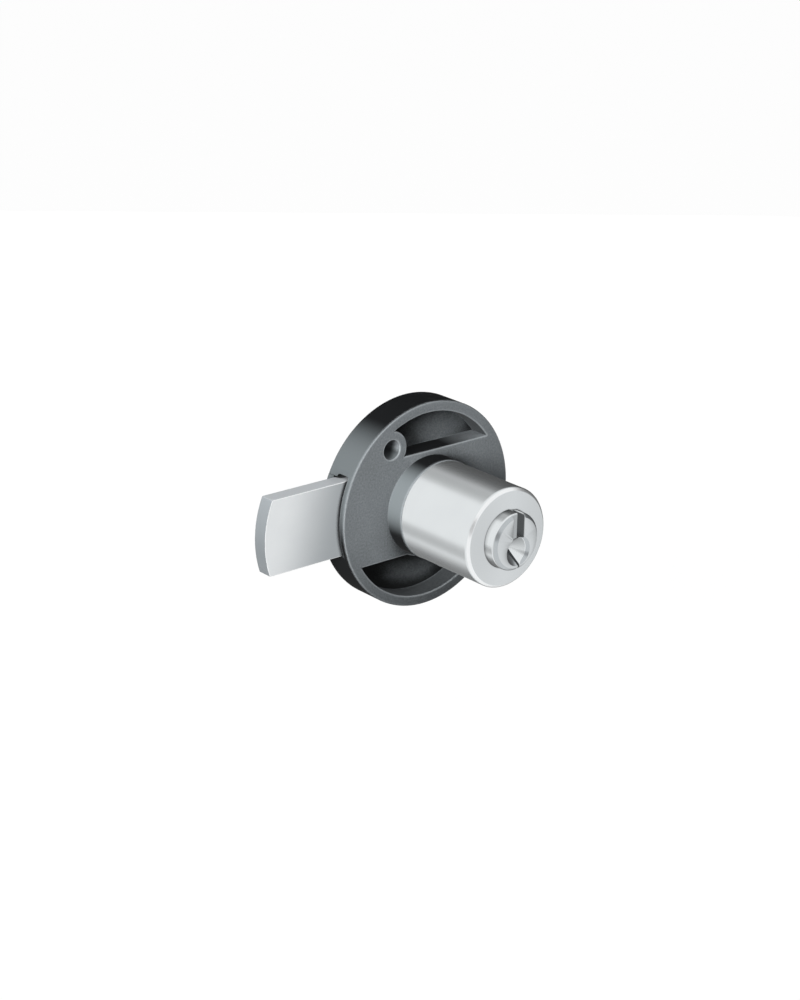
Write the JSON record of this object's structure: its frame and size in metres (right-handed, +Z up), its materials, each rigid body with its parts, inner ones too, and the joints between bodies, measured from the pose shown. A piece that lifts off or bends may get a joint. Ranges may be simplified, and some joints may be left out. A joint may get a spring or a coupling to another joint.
{
  "type": "drawer lock",
  "caption": "Round black drawer lock with a projecting silver cylinder; turning the key plug once slides a flat bolt sideways out of the case by a rack and pinion.",
  "frame": {"origin": "on the cylinder's axis, in the plane where the case lies against the inner face of the drawer front", "axes": "-Y along the cylinder towards the key, -X along the bolt as it is thrown out, +Z up as in the picture"},
  "size_m": [0.0563, 0.0315, 0.04],
  "materials": {
    "black_zinc": "die-cast zinc with a satin black coat",
    "satin_nickel": "satin nickel plate",
    "plated_steel": "bright nickel plate on steel",
    "yellow_brass": "stamped brass",
    "spring_steel": "drawn spring steel"
  },
  "bodies": {
    "case": {"case": "black_zinc", "back_cover": "black_zinc", "cover_screw_1": "plated_steel", "cover_screw_2": "plated_steel", "cylinder_sleeve": "satin_nickel", "sleeve_screw_1": "plated_steel", "sleeve_screw_2": "plated_steel"},
    "plug": {"plug": "satin_nickel", "retaining_clip": "spring_steel", "drive_pinion": "plated_steel", "wafer_spring_1": "spring_steel", "wafer_spring_2": "spring_steel", "wafer_spring_3": "spring_steel", "wafer_spring_4": "spring_steel", "wafer_spring_5": "spring_steel"},
    "bolt": {"bolt": "plated_steel"},
    "wafer_1": {"wafer_1": "yellow_brass"},
    "wafer_2": {"wafer_2": "yellow_brass"},
    "wafer_3": {"wafer_3": "yellow_brass"},
    "wafer_4": {"wafer_4": "yellow_brass"},
    "wafer_5": {"wafer_5": "yellow_brass"}
  },
  "joints": [
    {"name": "plug_turn", "type": "hinge", "parent": "case", "child": "plug", "pos_m": [0, 0, 0], "axis": [0, 1, 0], "range_deg": [0, 360]},
    {"name": "bolt_slide", "type": "slide", "parent": "case", "child": "bolt", "axis": [1, 0, 0], "range_m": [0, 0.0163]},
    {"name": "wafer_1_slide", "type": "slide", "parent": "plug", "child": "wafer_1", "axis": [0, 0, 1], "range_m": [0, 0.0007], "stiffness_N_per_m": 100, "springref_m": 0.0015, "deforming": ["wafer_spring_1"]},
    {"name": "wafer_2_slide", "type": "slide", "parent": "plug", "child": "wafer_2", "axis": [0, 0, 1], "range_m": [0, 0.0007], "stiffness_N_per_m": 100, "springref_m": 0.0015, "deforming": ["wafer_spring_2"]},
    {"name": "wafer_3_slide", "type": "slide", "parent": "plug", "child": "wafer_3", "axis": [0, 0, 1], "range_m": [0, 0.0007], "stiffness_N_per_m": 100, "springref_m": 0.0015, "deforming": ["wafer_spring_3"]},
    {"name": "wafer_4_slide", "type": "slide", "parent": "plug", "child": "wafer_4", "axis": [0, 0, 1], "range_m": [0, 0.0007], "stiffness_N_per_m": 100, "springref_m": 0.0015, "deforming": ["wafer_spring_4"]},
    {"name": "wafer_5_slide", "type": "slide", "parent": "plug", "child": "wafer_5", "axis": [0, 0, 1], "range_m": [0, 0.0007], "stiffness_N_per_m": 100, "springref_m": 0.0015, "deforming": ["wafer_spring_5"]}
  ],
  "couplings": [
    {"joint": "plug_turn", "follows": "bolt_slide", "rad_per_m": 385.47}
  ]
}
